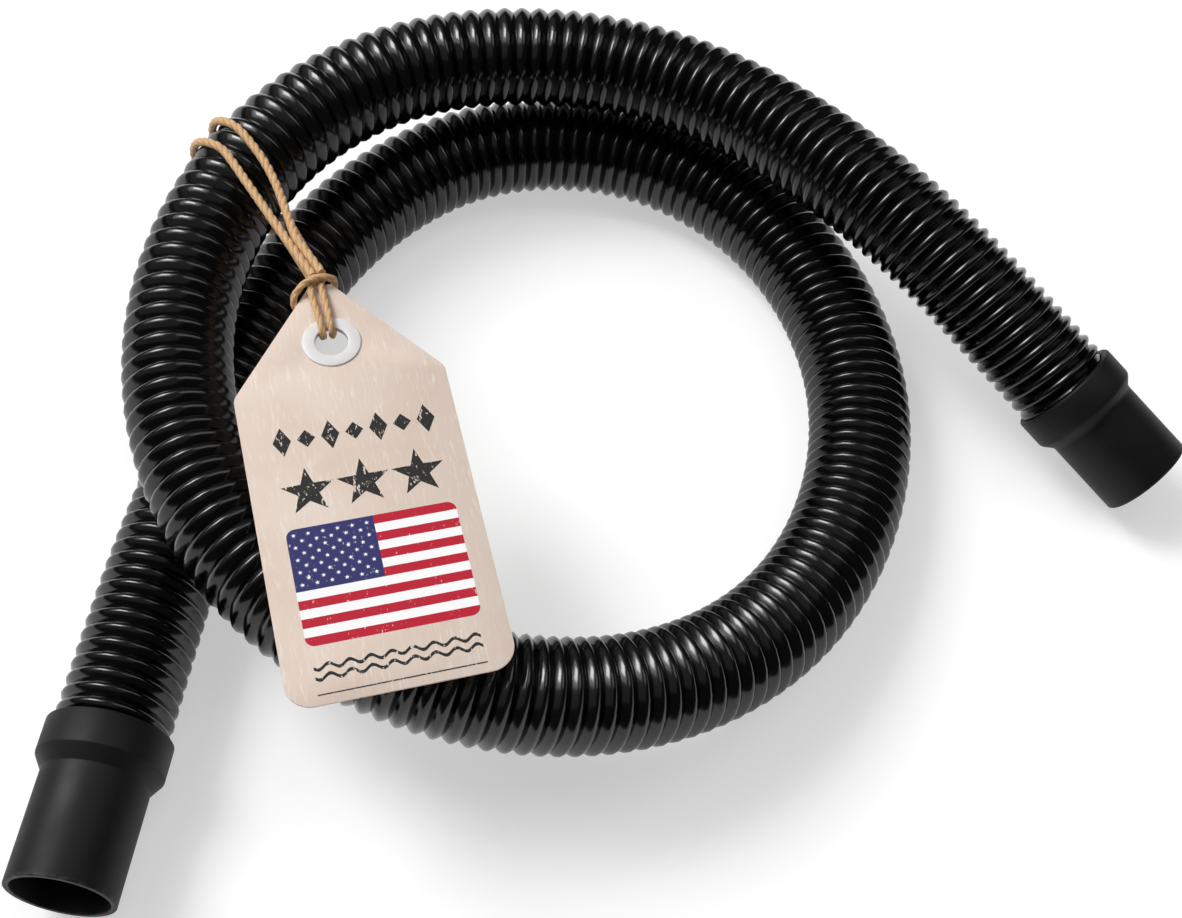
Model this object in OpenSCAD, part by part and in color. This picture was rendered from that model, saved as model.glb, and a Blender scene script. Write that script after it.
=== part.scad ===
// Spiral-ribbed pool hose with a swivel cuff, a fixed cuff and a card tag on twine.
// The hose lies in one and a half turns: its second turn climbs over the first.
// Millimetres, +Z up, standing on z = 0.

/* [Hose] */
// Diameter of the smooth bore, equal to the pipe ends that it joins
hose_bore = 38; // [36:0.5:38.5]
// Wall at the bottom of the grooves
hose_wall = 1.85; // [1.2:0.05:2]
// Depth of the groove between two ribs
rib_depth = 2.4; // [1.5:0.1:2.4]
// Number of ribs from cuff to cuff
rib_count = 200; // [60:1:200]
// Wall of the plain ends inside the cuffs
end_wall = 2.4; // [2:0.1:2.6]

/* [Swivel cuff] */
// Wall of the tube of both cuffs
cuff_wall = 2.4; // [1.8:0.1:3.2]
// Length of the tube below the collar
swivel_tube = 46; // [35:1:60]
// Length of the cone between tube and collar
swivel_cone = 6; // [4:0.5:8]
// Length of the collar
swivel_collar = 14; // [12:0.5:20]
// Wall of the collar round the sleeve's flange
collar_wall = 1.2; // [1:0.1:3]
// Wall of the threaded sleeve
sleeve_wall = 1.6; // [1.2:0.1:2.4]
// How far the sleeve's flange stands out from the sleeve
flange_step = 0.9; // [0.8:0.1:2]
// Clearance of the collar's rear lip round the sleeve
lip_gap = 0.5; // [0.3:0.1:0.6]
// Thickness of the sleeve's flange
flange_t = 3; // [2:0.5:4]
// Thickness of the flat seal
seal_t = 1.5; // [1:0.1:2]

/* [Fixed cuff] */
// Length of the tube below the collar
fixed_tube = 38; // [30:1:50]
// Length of the cone between tube and collar
fixed_cone = 4.5; // [3:0.5:8]
// Length of the collar
fixed_collar = 14; // [12:0.5:18]
// Radius on the collar's two edges
fixed_round = 1.2; // [0.4:0.1:1.4]

/* [Tag] */
// Width of the card
tag_w = 85; // [60:1:90]
// Length from the tip to the lower edge
tag_l = 184; // [150:1:190]
// Thickness of the card
tag_t = 0.8; // [0.6:0.1:1.2]
// Distance from the tip to the shoulders
tag_shoulder = 49; // [40:1:60]
// Radius of the lower corners
tag_corner = 10; // [2:0.5:12]
// Radius of the shoulders
tag_bend = 6; // [2:0.5:8]
// Width of the blunt tip
tag_tip_w = 9; // [7:0.5:14]
// Radius of the tip's two corners
tag_tip = 2; // [1:0.5:3]
// Distance from the tip to the eyelet
eyelet_at = 29; // [26:0.5:36]
// Outside diameter of the eyelet's flanges
eyelet_od = 24; // [18:0.5:26]
// Diameter of the eyelet's hole
eyelet_bore = 13.4; // [13:0.1:14]
// Thickness of each eyelet flange
eyelet_t = 0.8; // [0.6:0.1:1.2]
// Wall of the eyelet's barrel
barrel_wall = 0.7; // [0.5:0.1:1]

/* [Twine] */
// Diameter of the twine
twine_d = 3.6; // [3:0.1:3.6]
// Diameter of the knot above the tag's tip
knot_d = 8; // [7:0.5:8]
// Length of the knot across the tag
knot_l = 14; // [12:0.5:16]
// Place of the tie along the hose, counted in route steps
tie_at = 25.7; // [25.4:0.1:26.2]

/* [Fits] */
// Clearance between pieces that move on each other
run_gap = 0.3; // [0.2:0.05:0.4]
// Clearance between pieces that are bonded or trapped
seat_gap = 0.1; // [0.05:0.05:0.3]
// Clearance between a cuff's bore and the pipe end in it
pipe_gap = 0.2; // [0.1:0.05:0.3]

/* [Hidden] */
$fn = 96;

// Route of the hose's centreline, from its end in the swivel cuff to its end in
// the fixed cuff. A cubic B-spline follows these points.
route = [
    [-200, -170, 25.5], [-200, -128, 25.5], [-200, -88, 25.5], [-198, -40, 24],
    [-195, 8, 23.5], [-189, 57, 23.5], [-175, 103, 23.5], [-151, 144, 23.5],
    [-118, 177, 23.5], [-74, 194, 23.5], [-28, 194, 23.5], [16, 176, 23.5],
    [53, 143, 23.5], [78, 100, 23.5], [91, 52, 23.5], [89, 0, 24.5],
    [73, -50, 29], [43, -92, 39], [2, -122, 52], [-47, -136, 64],
    [-96, -132, 71], [-141, -111, 73], [-177, -76, 72], [-202, -31, 71.5],
    [-214, 17, 71.5], [-214, 64, 72], [-203, 108, 73], [-181, 146, 74],
    [-150, 176, 74], [-112, 195, 73], [-69, 204, 72], [-26, 201, 72],
    [14, 185, 74], [49, 161, 77], [83, 133, 79], [117, 109, 71.2],
    [153, 86, 53.7], [189, 63, 36.2]
];
spans = len(route) - 1;

hose_od = hose_bore + 2 * (hose_wall + rib_depth);
hose_end_od = hose_bore + 2 * end_wall;
cuff_bore = hose_bore + 2 * pipe_gap;
cuff_od = cuff_bore + 2 * cuff_wall;

// The cuffs, measured from the mouth
shoulder = swivel_tube + swivel_cone;
seal_from = shoulder + run_gap;
sleeve_from = seal_from + seal_t;
stop_t = 1;
swivel_hose_at = sleeve_from + stop_t + seat_gap;
chamber_to = sleeve_from + flange_t + run_gap;
swivel_len = shoulder + swivel_collar;
sleeve_bore = hose_end_od + 2 * seat_gap;
sleeve_od = sleeve_bore + 2 * sleeve_wall;
flange_od = sleeve_od + 2 * flange_step;
lip_bore = sleeve_od + 2 * lip_gap;
chamber_bore = flange_od + 2 * run_gap;
collar_od = chamber_bore + 2 * collar_wall;
socket_from = fixed_tube + fixed_cone;
fixed_len = socket_from + fixed_collar;
fixed_hose_at = socket_from + seat_gap;
mouth_bevel = 0.6;
overrun = 1;

// Knot and tag: the tag turns about the knot's centre
knot = [-152, 22, 102.4];
tag_turn = -68;
tag_slope = 2.4;
tip_at = knot_d / 2 + run_gap;
strand_gap = twine_d + 0.8;
lead_z = tag_t / 2 + eyelet_t + twine_d / 2 + run_gap;
sides = 8;
lead_sides = 8;

// ---- Lines in space ----
function unit(v) = v / norm(v);
function reach(i) = i < 0 ? 2 * route[0] - route[1]
    : i > spans ? 2 * route[spans] - route[spans - 1]
    : route[i];
function weights(t) = [pow(1 - t, 3), 3 * pow(t, 3) - 6 * pow(t, 2) + 4,
    -3 * pow(t, 3) + 3 * pow(t, 2) + 3 * t + 1, pow(t, 3)] / 6;
function slopes(t) = [-pow(1 - t, 2), 3 * pow(t, 2) - 4 * t,
    -3 * pow(t, 2) + 2 * t + 1, pow(t, 2)] / 2;
function blend(i, w) = w[0] * reach(i - 1) + w[1] * reach(i)
    + w[2] * reach(i + 1) + w[3] * reach(i + 2);
function span_of(u) = min(floor(u), spans - 1);
function place(u) = blend(span_of(u), weights(u - span_of(u)));
function heading(u) = unit(blend(span_of(u), slopes(u - span_of(u))));

// Arc length along the route, as a table from length to step
fine = 8;
marks = [for (i = [0 : spans * fine]) place(i / fine)];
lengths = [for (i = 0, s = 0; i < len(marks);
    i = i + 1, s = s + (i < len(marks) ? norm(marks[i] - marks[i - 1]) : 0)) s];
hose_len = lengths[len(lengths) - 1];
steps = [for (i = [0 : len(lengths) - 1]) [lengths[i], i / fine]];
function step_at(s) = lookup(s, steps);

// Side vectors carried along a line without twist
function headings(p) = [for (i = [0 : len(p) - 1])
    unit(p[min(i + 1, len(p) - 1)] - p[max(i - 1, 0)])];
function flatten_to(n, t) = unit(n - (n * t) * t);
function carried(t, start) = [for (i = 0, n = flatten_to(start, t[0]); i < len(t);
    i = i + 1, n = i < len(t) ? flatten_to(n, t[i]) : n) n];
function ring(c, t, n, r, count) = [for (k = [0 : count - 1])
    c + r * (cos(k * 360 / count) * n + sin(k * 360 / count) * cross(t, n))];
function skin(rows, count, from, flip) = [for (i = [0 : rows - 2], k = [0 : count - 1])
    let (a = from + i * count + k, b = from + i * count + (k + 1) % count,
         c = a + count, d = b + count)
    each flip ? [[a, b, d], [a, d, c]] : [[b, a, d], [d, a, c]]];
function lid(count, from, flip) = [for (k = [1 : count - 2])
    flip ? [from, from + k, from + k + 1] : [from + k + 1, from + k, from]];

module cord(p, start) {
    t = headings(p);
    n = carried(t, start);
    points = [for (i = [0 : len(p) - 1]) each ring(p[i], t[i], n[i], twine_d / 2, lead_sides)];
    polyhedron(points, concat(
        skin(len(p), lead_sides, 0, true),
        lid(lead_sides, 0, false),
        lid(lead_sides, (len(p) - 1) * lead_sides, true)));
}

// ---- Hose ----
plain_swivel = swivel_len - swivel_hose_at + 1;
plain_fixed = fixed_len - fixed_hose_at + 1;
pitch = (hose_len - plain_swivel - plain_fixed) / rib_count;
crest_r = hose_od / 2;
root_r = crest_r - rib_depth;
outer_rows = concat(
    [[0, hose_end_od / 2], [plain_swivel - 0.5, hose_end_od / 2]],
    [for (i = [0 : rib_count - 1]) each [
        [plain_swivel + i * pitch, root_r],
        [plain_swivel + (i + 0.5) * pitch, crest_r]]],
    [[hose_len - plain_fixed, root_r],
     [hose_len - plain_fixed + 0.5, hose_end_od / 2], [hose_len, hose_end_od / 2]]);
bore_steps = 88;
bore_rows = [for (i = [0 : bore_steps]) [hose_len * i / bore_steps, hose_bore / 2]];

// Every ring keeps one corner straight below the centreline
function hose_rings(rows) = [for (row = rows)
    let (u = step_at(row[0]), t = heading(u))
    each ring(place(u), t, flatten_to([0, 0, 1], t), row[1], sides)];
function end_band(outer, inner, flip) = [for (k = [0 : sides - 1])
    let (a = outer + k, b = outer + (k + 1) % sides,
         c = inner + k, d = inner + (k + 1) % sides)
    each flip ? [[a, b, d], [a, d, c]] : [[b, a, d], [d, a, c]]];

// Least gap between two stretches of the hose that don't follow each other
gap_step = 5;
gap_marks = [for (s = [0 : gap_step : hose_len]) place(step_at(s))];
gap_skip = 32;
self_gap = min([for (i = [0 : len(gap_marks) - 1], j = [i + gap_skip : 1 : len(gap_marks) - 1])
    norm(gap_marks[i] - gap_marks[j])]) - hose_od;
echo(hose_length = hose_len, mouth_to_mouth = hose_len + swivel_hose_at + fixed_hose_at);
echo(least_gap_of_hose = self_gap, rib_pitch = pitch);

module hose() {
    points = concat(hose_rings(outer_rows), hose_rings(bore_rows));
    inner = len(outer_rows) * sides;
    last_outer = (len(outer_rows) - 1) * sides;
    last_inner = inner + (len(bore_rows) - 1) * sides;
    color("#161616")
    polyhedron(points, concat(
        skin(len(outer_rows), sides, 0, true),
        skin(len(bore_rows), sides, inner, false),
        end_band(0, inner, false),
        end_band(last_outer, last_inner, true)));
}

// ---- Cuffs ----
// Turns a piece so that its +Z runs along dir from the point at
module along(at, dir) {
    turn = atan2(dir[1], dir[0]);
    lean = acos(dir[2] / norm(dir));
    translate(at) rotate([0, lean, turn]) children();
}

swivel_dir = heading(0);
swivel_mouth = route[0] - swivel_hose_at * swivel_dir;
fixed_dir = -heading(spans);
fixed_mouth = route[spans] - fixed_hose_at * fixed_dir;

module swivel_cuff() {
    color("#242424")
    along(swivel_mouth, swivel_dir)
    difference() {
        rotate_extrude()
        polygon([
            [0, 0], [cuff_od / 2 - mouth_bevel, 0], [cuff_od / 2, mouth_bevel],
            [cuff_od / 2, swivel_tube], [collar_od / 2, shoulder],
            [collar_od / 2, swivel_len], [0, swivel_len]]);
        translate([0, 0, -overrun])
        cylinder(d = cuff_bore, h = swivel_len + overrun);
        translate([0, 0, shoulder])
        cylinder(d = chamber_bore, h = chamber_to - shoulder);
        translate([0, 0, shoulder])
        cylinder(d = lip_bore, h = swivel_collar + overrun);
    }
}

module swivel_sleeve() {
    color("#3a3a3a")
    along(swivel_mouth, swivel_dir)
    difference() {
        union() {
            translate([0, 0, sleeve_from]) cylinder(d = flange_od, h = flange_t);
            translate([0, 0, sleeve_from])
            cylinder(d = sleeve_od, h = swivel_len - run_gap - sleeve_from);
        }
        translate([0, 0, sleeve_from - overrun])
        cylinder(d = cuff_bore, h = swivel_len);
        translate([0, 0, sleeve_from + stop_t])
        cylinder(d = sleeve_bore, h = swivel_len);
    }
}

module swivel_seal() {
    color("#0c0c0c")
    along(swivel_mouth, swivel_dir)
    translate([0, 0, seal_from])
    difference() {
        cylinder(d = flange_od, h = seal_t);
        translate([0, 0, -overrun]) cylinder(d = cuff_bore, h = seal_t + 2 * overrun);
    }
}

// Round edge about (cx, cy), from one angle to another
arc_step = 15;
function arc(cx, cy, r, from, to) = [for (w = [from : arc_step : to])
    [cx + r * cos(w), cy + r * sin(w)]];

module fixed_cuff() {
    rim = collar_od / 2 - fixed_round;
    color("#262626")
    along(fixed_mouth, fixed_dir)
    difference() {
        rotate_extrude()
        polygon(concat(
            [[0, 0], [cuff_od / 2 - mouth_bevel, 0], [cuff_od / 2, mouth_bevel],
             [cuff_od / 2, fixed_tube]],
            arc(rim, socket_from + fixed_round, fixed_round, -45, 0),
            arc(rim, fixed_len - fixed_round, fixed_round, 0, 90),
            [[0, fixed_len]]));
        translate([0, 0, -overrun])
        cylinder(d = cuff_bore, h = fixed_len + overrun);
        translate([0, 0, socket_from])
        cylinder(d = sleeve_bore, h = fixed_collar + overrun);
    }
}

// ---- Tag ----
// The tag's own frame: origin at the knot, +X down the card, +Z off its face
module on_tag() {
    translate(knot) rotate([0, tag_slope, tag_turn]) children();
}

// Corner of radius r at point p between the points before and after it
function corner(before, p, after, r) = let (
    a = unit(before - p), b = unit(after - p),
    half = acos(a * b) / 2,
    mid = p + unit(a + b) * r / sin(half),
    start = p + a * r / tan(half) - mid,
    side = sign(a[1] * b[0] - a[0] * b[1]),
    sweep = side * (180 - 2 * half),
    parts = 8)
    [for (k = [0 : parts]) let (w = sweep * k / parts)
        mid + [start[0] * cos(w) - start[1] * sin(w), start[0] * sin(w) + start[1] * cos(w)]];

tag_outline = let (
    top_left = [tip_at, -tag_tip_w / 2],
    top_right = [tip_at, tag_tip_w / 2],
    left = [tip_at + tag_shoulder, -tag_w / 2],
    low_left = [tip_at + tag_l, -tag_w / 2],
    low_right = [tip_at + tag_l, tag_w / 2],
    right = [tip_at + tag_shoulder, tag_w / 2])
    concat(
        corner(top_right, top_left, left, tag_tip),
        corner(top_left, left, low_left, tag_bend),
        corner(left, low_left, low_right, tag_corner),
        corner(low_left, low_right, right, tag_corner),
        corner(low_right, right, top_right, tag_bend),
        corner(right, top_right, top_left, tag_tip));

barrel_od = eyelet_bore + 2 * barrel_wall;

module at_eyelet(z) {
    on_tag() translate([tip_at + eyelet_at, 0, z]) children();
}

module tag_card() {
    color("#e2d0c2")
    difference() {
        on_tag() translate([0, 0, -tag_t / 2]) linear_extrude(tag_t) polygon(tag_outline);
        at_eyelet(-tag_t) cylinder(d = barrel_od + 2 * seat_gap, h = 2 * tag_t);
    }
}

module tag_eyelet() {
    color("#f2f0ec")
    at_eyelet(0)
    difference() {
        union() {
            translate([0, 0, tag_t / 2]) cylinder(d = eyelet_od, h = eyelet_t);
            translate([0, 0, -tag_t / 2 - eyelet_t])
            cylinder(d = barrel_od, h = tag_t + 2 * eyelet_t);
        }
        translate([0, 0, -tag_t / 2 - eyelet_t - overrun])
        cylinder(d = eyelet_bore, h = tag_t + 2 * eyelet_t + 2 * overrun);
    }
}

module tag_eyelet_washer() {
    color("#dedbd4")
    at_eyelet(-tag_t / 2 - eyelet_t)
    difference() {
        cylinder(d = eyelet_od, h = eyelet_t);
        translate([0, 0, -overrun])
        cylinder(d = barrel_od + 2 * seat_gap, h = eyelet_t + 2 * overrun);
    }
}

// ---- Twine ----
// A turn of twine leaves the knot, crosses the hose's crest, goes round it and
// comes back under itself. slip moves it along the hose, lean shifts its far end,
// and side moves its ends at the knot.
wrap_r = hose_od / 2 + twine_d / 2 + run_gap;
wrap_from = -4;
wrap_to = -246;
wrap_parts = 12;
wrap_bow = 0.2;
function wrap_point(slip, lean, w) = let (
    a = wrap_from + (wrap_to - wrap_from) * w,
    u = tie_at + slip + lean * w * w + wrap_bow * sin(180 * w),
    t = heading(u),
    in = unit(cross(t, [0, 0, 1])),
    up = cross(in, t))
    place(u) + wrap_r * (cos(a) * up + sin(a) * in);
knot_reach = knot_d / 2 + 1.9;
knot_out = unit([-0.64, 0.77, 0]);
knot_side = [knot_out[1], -knot_out[0], 0];
function knot_end(side, level) = knot + knot_reach * knot_out
    + side * strand_gap / 2 * knot_side + [0, 0, level * strand_gap / 2];
// Where the two strands come together before the knot
meet_at = 26;
meet_drop = 0.4;
function meet(side) = knot + meet_at * knot_out
    + side * (twine_d + run_gap) / 2 * knot_side - [0, 0, meet_drop];
function turn_line(slip, lean, side) = concat(
    [knot_end(side, 1), meet(side)],
    [for (k = [0 : wrap_parts]) wrap_point(slip, lean, k / wrap_parts)],
    [knot_end(side, -1)]);

module twine_turn_left() {
    color("#cfa06a") cord(turn_line(-0.13, -0.1, -1), [0, 0, 1]);
}

module twine_turn_right() {
    color("#cfa06a") cord(turn_line(0.17, -0.22, 1), [0, 0, 1]);
}

// The knot is a wrapped barrel that lies across the tag's tip
module twine_knot() {
    half = knot_l / 2;
    soft = 1.5;
    rim = knot_d / 2 - soft;
    color("#c79862")
    on_tag()
    rotate([90, 0, 0])
    rotate_extrude()
    polygon(concat(
        [[0, -half]],
        arc(rim, soft - half, soft, -90, 0),
        arc(rim, half - soft, soft, 0, 90),
        [[0, half]]));
}

// From the knot down the card's face, through the eyelet and back up behind it
hole_gap = 1.3;
lead_near = knot_d / 2 + 0.5;
lead_low = twine_d / 2 + tag_t / 2 + 0.2;
lead_in = tip_at + eyelet_at - (eyelet_bore / 2 - twine_d / 2 - hole_gap);
function lead_line(y) = let (
    face = [[lead_near, y, lead_low], [lead_near + 6, y, lead_z], [lead_in - 8, y, lead_z],
            [lead_in - 4.5, y, lead_z], [lead_in - 1.5, y, lead_z - 0.3], [lead_in, y, 1]])
    concat(face, [for (i = [len(face) - 1 : -1 : 0]) [face[i][0], y, -face[i][2]]]);

module twine_lead_left() {
    color("#cfa06a") on_tag() cord(lead_line(-strand_gap / 2), [0, 1, 0]);
}

module twine_lead_right() {
    color("#cfa06a") on_tag() cord(lead_line(strand_gap / 2), [0, 1, 0]);
}

hose();
swivel_cuff();
swivel_sleeve();
swivel_seal();
fixed_cuff();
tag_card();
tag_eyelet();
tag_eyelet_washer();
twine_turn_left();
twine_turn_right();
twine_knot();
twine_lead_left();
twine_lead_right();
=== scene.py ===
import math
import bmesh
import bpy
import numpy as np
from mathutils import Euler, Matrix, Vector


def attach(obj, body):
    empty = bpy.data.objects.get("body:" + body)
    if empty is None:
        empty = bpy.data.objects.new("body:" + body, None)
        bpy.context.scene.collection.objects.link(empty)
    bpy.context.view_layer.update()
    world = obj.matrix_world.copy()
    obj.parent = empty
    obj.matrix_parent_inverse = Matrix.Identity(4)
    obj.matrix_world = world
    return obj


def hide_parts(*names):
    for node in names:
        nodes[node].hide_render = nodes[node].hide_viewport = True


print("loading the packed hose")
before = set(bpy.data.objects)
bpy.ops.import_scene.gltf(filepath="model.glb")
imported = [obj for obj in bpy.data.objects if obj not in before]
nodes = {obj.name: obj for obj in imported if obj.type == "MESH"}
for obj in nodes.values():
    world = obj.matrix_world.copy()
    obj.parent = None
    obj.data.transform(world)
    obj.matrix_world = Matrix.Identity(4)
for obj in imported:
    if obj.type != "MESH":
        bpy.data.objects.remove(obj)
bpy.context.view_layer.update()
scene = bpy.context.scene
scene.view_settings.view_transform = "Standard"


perMetre = 1000      # millimetres in a metre


def mm(*values):
    scaled = [v * 0.001 for v in values]
    return scaled[0] if len(scaled) == 1 else tuple(scaled)


def linear(code):
    # sRGB hex such as "#1c1c1c" to the linear values the shaders take
    parts = [int(code[i:i + 2], 16) / 255 for i in (1, 3, 5)]
    return tuple(p / 12.92 if p <= 0.04045 else ((p + 0.055) / 1.055) ** 2.4
                 for p in parts) + (1.0,)


def finishMesh(bm, name, materials, body, sharp=35.0):
    # the mesh holds its own place, so its object stays at the origin
    mesh = bpy.data.meshes.new(name)
    bm.to_mesh(mesh)
    bm.free()
    for material in materials:
        mesh.materials.append(material)
    mesh.polygons.foreach_set("use_smooth", [True] * len(mesh.polygons))
    mesh.set_sharp_from_angle(angle=math.radians(sharp))
    piece = bpy.data.objects.new(name, mesh)
    scene.collection.objects.link(piece)
    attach(piece, body)
    return piece


def plug(tree, node, inputs=None, links=None):
    # a node's own input values, and what is plugged into it
    for key, value in (inputs or {}).items():
        node.inputs[key].default_value = value
    for key, source in (links or {}).items():
        tree.links.new(source, node.inputs[key])


def addNode(tree, kind, settings=None, inputs=None, links=None, stops=()):
    # one node with its settings, inputs and links, and a ramp's places and colours
    node = tree.nodes.new(kind)
    for key, value in (settings or {}).items():
        setattr(node, key, value)
    plug(tree, node, inputs, links)
    if stops:
        marks = node.color_ramp.elements
        while len(marks) < len(stops):
            marks.new(0.5)
        for mark, (place, code) in zip(marks, stops):
            mark.position = place
            mark.color = linear(code)
    return node


def newMaterial(name):
    material = bpy.data.materials.new(name)
    material.use_nodes = True
    return material, material.node_tree, material.node_tree.nodes["Principled BSDF"]


def objectPoints(tree, scale=(1, 1, 1), turn=(0, 0, 0), place=(0, 0, 0), kind="POINT"):
    # where a pattern lies on its piece
    where = addNode(tree, "ShaderNodeTexCoord")
    return addNode(tree, "ShaderNodeMapping", {"vector_type": kind},
                   {"Scale": scale, "Rotation": turn, "Location": place},
                   {"Vector": where.outputs["Object"]}).outputs["Vector"]


print("camera")
cameraSet = {
    "place": (-0.01551, -0.41469, 0.65764),
    "ahead": (-0.01896, 0.55168, -0.83384),
    "up": (-0.14560, 0.82358, 0.54820),
    "lens": 51.83,
}
ahead = Vector(cameraSet["ahead"]).normalized()
right = ahead.cross(Vector(cameraSet["up"])).normalized()
upright = right.cross(ahead)
cameraData = bpy.data.cameras.new("studioCamera")
cameraData.lens = cameraSet["lens"]
cameraData.sensor_width = 36
cameraData.clip_start = 0.01
camera = bpy.data.objects.new("studioCamera", cameraData)
turned = Matrix((right, upright, -ahead)).transposed().to_4x4()
camera.matrix_world = Matrix.Translation(Vector(cameraSet["place"])) @ turned
scene.collection.objects.link(camera)
scene.camera = camera


anySide = [0.31, 0.2, 0.93]     # lines that carry their own side start from this one


def measured(points, ups=None):
    # length along a line, and at each point its heading and two side directions
    points = np.array(points, float)
    steps = np.linalg.norm(np.diff(points, axis=0), axis=1)
    length = np.concatenate([[0], np.cumsum(steps)])
    heading = np.gradient(points, axis=0)
    heading /= np.linalg.norm(heading, axis=1)[:, None]
    if ups is None:
        # carried along without twist
        side = np.zeros_like(points)
        side[0] = np.cross(heading[0], anySide)
        for i in range(len(points)):
            n = side[max(i - 1, 0)]
            n = n - (n @ heading[i]) * heading[i]
            side[i] = n / np.linalg.norm(n)
    else:
        side = ups - (ups * heading).sum(1)[:, None] * heading
        side /= np.linalg.norm(side, axis=1)[:, None]
    return {"s": length, "p": points, "t": heading, "n": side, "b": np.cross(heading, side)}


def splineWeights(t):
    # how strongly four route points pull the line at share t of a span, in sixths
    return [(1 - t) ** 3, 3 * t ** 3 - 6 * t ** 2 + 4,
            -3 * t ** 3 + 3 * t ** 2 + 3 * t + 1, t ** 3]


def bSpline(route, perSpan):
    # the route's points pull the line; both ends run straight
    p = np.array(route, float)
    p = np.vstack([2 * p[0] - p[1], p, 2 * p[-1] - p[-2]])
    found = []
    for i in range(len(route) - 1):
        last = i == len(route) - 2
        for t in np.linspace(0, 1, perSpan + 1)[: perSpan + 1 if last else perSpan]:
            found.append(np.array(splineWeights(t)) / 6 @ p[i:i + 4])
    return np.array(found)


def layAlong(bm, line):
    # a straight piece that stands on +Z is laid along the line
    co = np.array([v.co[:] for v in bm.verts])
    s = np.clip(co[:, 2], 0, line["s"][-1])
    at = {k: np.stack([np.interp(s, line["s"], line[k][:, i]) for i in range(3)], 1)
          for k in ("p", "n", "b")}
    laid = at["p"] + co[:, :1] * at["n"] + co[:, 1:2] * at["b"]
    for v, place in zip(bm.verts, laid):
        v.co = place


hoseSet = {
    "route": [
        (-200, -170, 25.5), (-200, -128, 25.5), (-200, -88, 25.5), (-198, -40, 24),
        (-195, 8, 23.5), (-189, 57, 23.5), (-175, 103, 23.5), (-151, 144, 23.5),
        (-118, 177, 23.5), (-74, 194, 23.5), (-28, 194, 23.5), (16, 176, 23.5),
        (53, 143, 23.5), (78, 100, 23.5), (91, 52, 23.5), (89, 0, 24.5),
        (73, -50, 29), (43, -92, 39), (2, -122, 52), (-47, -136, 64),
        (-96, -132, 71), (-141, -111, 73), (-177, -76, 72), (-202, -31, 71.5),
        (-214, 17, 71.5), (-214, 64, 72), (-203, 108, 73), (-181, 146, 74),
        (-150, 176, 74), (-112, 195, 73), (-69, 204, 72), (-26, 201, 72),
        (14, 185, 74), (49, 161, 77), (83, 133, 79), (117, 109, 71.2),
        (153, 86, 53.7), (189, 63, 36.2),
    ],
    "perSpan": 40,        # points on the line between two of the route's
    "od": 46.5,
    "bore": 38.0,
    "boreCuts": 190,      # rings along the bore, so that it bends with the hose
    "endOd": 42.7,        # where the ribs are turned off inside the cuffs
    "endSwivel": 11.0,
    "endFixed": 14.0,
    "around": 30,
    # the ribs start as a few even turns that are doubled and then drawn out
    "evenPitch": 7,
    "firstTurns": 8,
    "mergeWithin": 0.04,
    # distance along the hose and rib pitch there: the coil draws some stretches out
    "pitches": [(-30, 6.4), (60, 6.6), (280, 7.7), (400, 7.4), (470, 7.7), (540, 7.0),
                (680, 6.8), (750, 7.1), (850, 6.3), (930, 6.2), (1050, 6.9), (1160, 7.9),
                (1270, 8.5), (1380, 7.8), (1530, 7.6), (1600, 6.0), (1760, 5.9)],
    "pitchSamples": 2000,
    # half of one rib: share of the pitch from its crest, and radius below the crest
    "rib": [(0.0, 0.0), (0.08, 0.12), (0.17, 0.42), (0.27, 0.88), (0.36, 1.38),
            (0.44, 1.9), (0.5, 2.35)],
    # the same places on the tight turns of the free end, which stand up as round beads
    "bead": [0.0, 0.07, 0.34, 0.95, 1.75, 2.3, 2.6],
    "beadFrom": (1400, 1500),
}


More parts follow.
